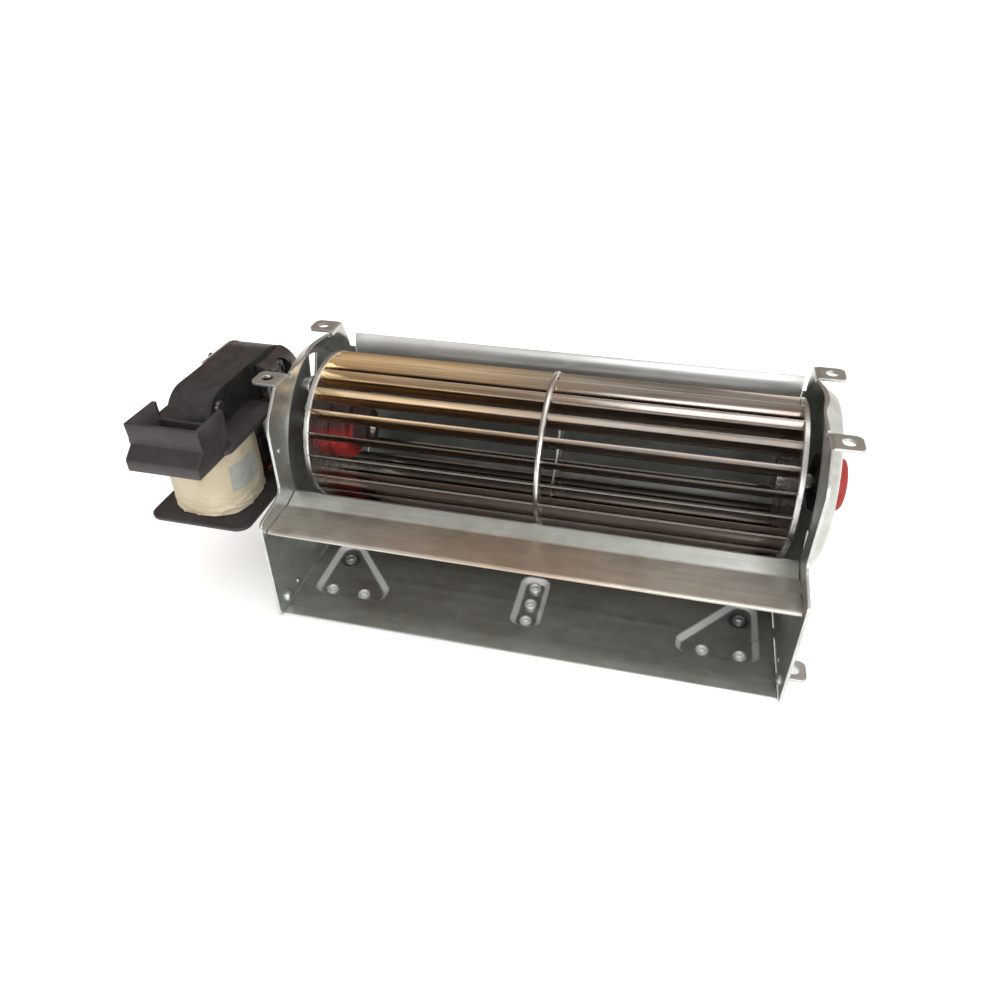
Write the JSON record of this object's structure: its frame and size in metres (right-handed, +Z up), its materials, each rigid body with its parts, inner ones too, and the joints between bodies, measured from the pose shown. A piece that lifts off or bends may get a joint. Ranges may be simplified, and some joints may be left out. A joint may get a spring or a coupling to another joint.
{
  "type": "refrigerator fan",
  "caption": "Tangential fan with a sheet steel scroll between two dished side plates, a cross-flow impeller and a shaded-pole motor on its left side.",
  "frame": {"origin": "bottom centre of the bounding box of the whole fan", "axes": "+X along the impeller's axis from the motor to the far bearing, -Y the way the outlet faces, +Z up"},
  "size_m": [0.2548, 0.1122, 0.0882],
  "materials": {
    "galvanised_sheet": "satin",
    "blade_metal": "satin",
    "disc_metal": "satin",
    "red_rubber": "matte",
    "bright_steel": "bright",
    "sintered_bronze": "satin",
    "lamination_steel": "satin",
    "copper": "satin",
    "black_plastic": "matte",
    "cream_tape": "matte",
    "tinned_brass": "bright",
    "black_casting": "gloss",
    "rotor_metal": "satin",
    "washer_plastic": "matte",
    "brass_spacer": "satin"
  },
  "bodies": {
    "housing": {"scroll_housing": "galvanised_sheet", "vortex_tongue": "galvanised_sheet", "motor_side_plate": "galvanised_sheet", "bearing_side_plate": "galvanised_sheet", "end_bearing": "sintered_bronze", "bearing_mount": "red_rubber", "stator_core": "lamination_steel", "coil_leg": "lamination_steel", "shading_rings": "copper", "core_rivets": "black_casting", "bobbin": "black_plastic", "coil_winding": "copper", "coil_wrap": "cream_tape", "spade_terminals": "tinned_brass", "front_bearing_bridge": "black_casting", "rear_bearing_bridge": "black_casting", "motor_bushes": "sintered_bronze", "bridge_screws": "black_casting", "bridge_nuts": "black_casting", "motor_spacers": "brass_spacer", "mounting_screws": "bright_steel"},
    "impeller": {"impeller_blades": "blade_metal", "motor_side_disc": "disc_metal", "bearing_side_disc": "disc_metal", "middle_ring": "disc_metal", "rubber_coupling": "red_rubber", "coupling_sleeve": "bright_steel", "stub_hub": "bright_steel", "stub_shaft": "bright_steel", "rotor_core": "rotor_metal", "rotor_shaft": "bright_steel", "rotor_washers": "washer_plastic"}
  },
  "joints": [
    {"name": "impeller_spin", "type": "hinge", "parent": "housing", "child": "impeller", "pos_m": [0.0194, 0.01473, 0.0528], "axis": [-1, 0, 0], "continuous": true}
  ]
}
